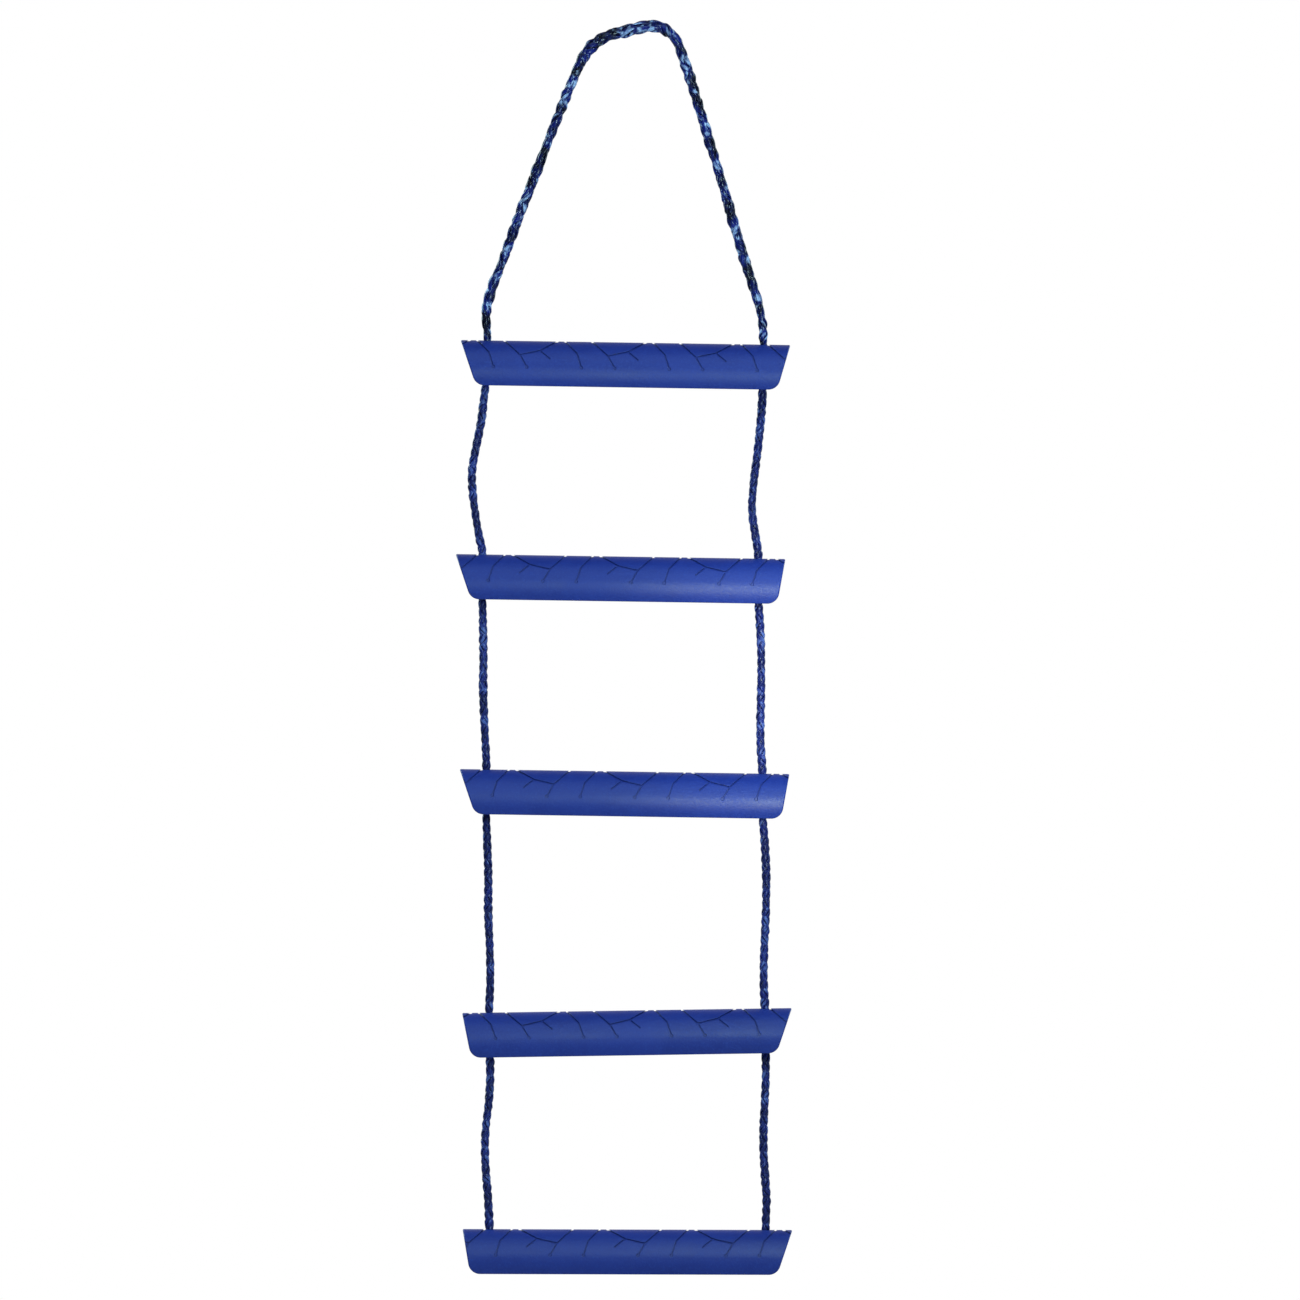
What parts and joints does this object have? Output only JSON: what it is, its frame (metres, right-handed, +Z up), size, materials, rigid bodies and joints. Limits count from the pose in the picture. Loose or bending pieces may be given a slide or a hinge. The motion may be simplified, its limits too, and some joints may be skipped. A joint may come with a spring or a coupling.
{
  "type": "rope ladder",
  "caption": "Hanging rope ladder: arched moulded plastic steps on the two legs of one braided rope, with a hanging loop at the top.",
  "frame": {"origin": "inner side of the hanging loop's crown, where a hook bears", "axes": "+Z up as the ladder hangs, along its length; X along the steps; the front faces -Y"},
  "size_m": [0.336, 0.062, 1.2539],
  "materials": {
    "step_plastic": "satin, finely grained moulding",
    "rope": "shiny braided polypropylene"
  },
  "bodies": {
    "hanger": {"hanging_loop": "rope"},
    "step_1": {"step_1": "step_plastic", "knot_left_1": "rope", "knot_right_1": "rope"},
    "ropes_1": {"rope_left_1": "rope", "rope_right_1": "rope"},
    "step_2": {"step_2": "step_plastic", "knot_left_2": "rope", "knot_right_2": "rope"},
    "ropes_2": {"rope_left_2": "rope", "rope_right_2": "rope"},
    "step_3": {"step_3": "step_plastic", "knot_left_3": "rope", "knot_right_3": "rope"},
    "ropes_3": {"rope_left_3": "rope", "rope_right_3": "rope"},
    "step_4": {"step_4": "step_plastic", "knot_left_4": "rope", "knot_right_4": "rope"},
    "ropes_4": {"rope_left_4": "rope", "rope_right_4": "rope"},
    "step_5": {"step_5": "step_plastic", "knot_left_5": "rope", "knot_right_5": "rope"}
  },
  "joints": [
    {"name": "step_1_tilt", "type": "hinge", "parent": "hanger", "child": "step_1", "pos_m": [0.00008, 0, -0.30095], "axis": [0.9999, 0, -0.0152], "range_deg": [-60, 60]},
    {"name": "ropes_1_swing", "type": "hinge", "parent": "step_1", "child": "ropes_1", "pos_m": [-0.00058, 0, -0.3445], "axis": [-0.9999, 0, 0.0152], "range_deg": [-60, 60]},
    {"name": "step_2_tilt", "type": "hinge", "parent": "ropes_1", "child": "step_2", "pos_m": [-0.00493, 0, -0.5157], "axis": [0.9999, 0, -0.0152], "range_deg": [-60, 60]},
    {"name": "ropes_2_swing", "type": "hinge", "parent": "step_2", "child": "ropes_2", "pos_m": [-0.00558, 0, -0.5585], "axis": [-0.9999, 0, 0.0152], "range_deg": [-60, 60]},
    {"name": "step_3_tilt", "type": "hinge", "parent": "ropes_2", "child": "step_3", "pos_m": [-0.00093, 0, -0.7307], "axis": [0.9999, 0, -0.0152], "range_deg": [-60, 60]},
    {"name": "ropes_3_swing", "type": "hinge", "parent": "step_3", "child": "ropes_3", "pos_m": [-0.00158, 0, -0.7735], "axis": [-0.9999, 0, 0.0152], "range_deg": [-60, 60]},
    {"name": "step_4_tilt", "type": "hinge", "parent": "ropes_3", "child": "step_4", "pos_m": [0.00143, 0, -0.9697], "axis": [0.9999, 0, 0.0152], "range_deg": [-60, 60]},
    {"name": "ropes_4_swing", "type": "hinge", "parent": "step_4", "child": "ropes_4", "pos_m": [0.00208, 0, -1.0125], "axis": [-0.9999, 0, -0.0152], "range_deg": [-60, 60]},
    {"name": "step_5_tilt", "type": "hinge", "parent": "ropes_4", "child": "step_5", "pos_m": [0.00201, 0, -1.1887], "axis": [1, 0, -0.003], "range_deg": [-60, 60]}
  ]
}
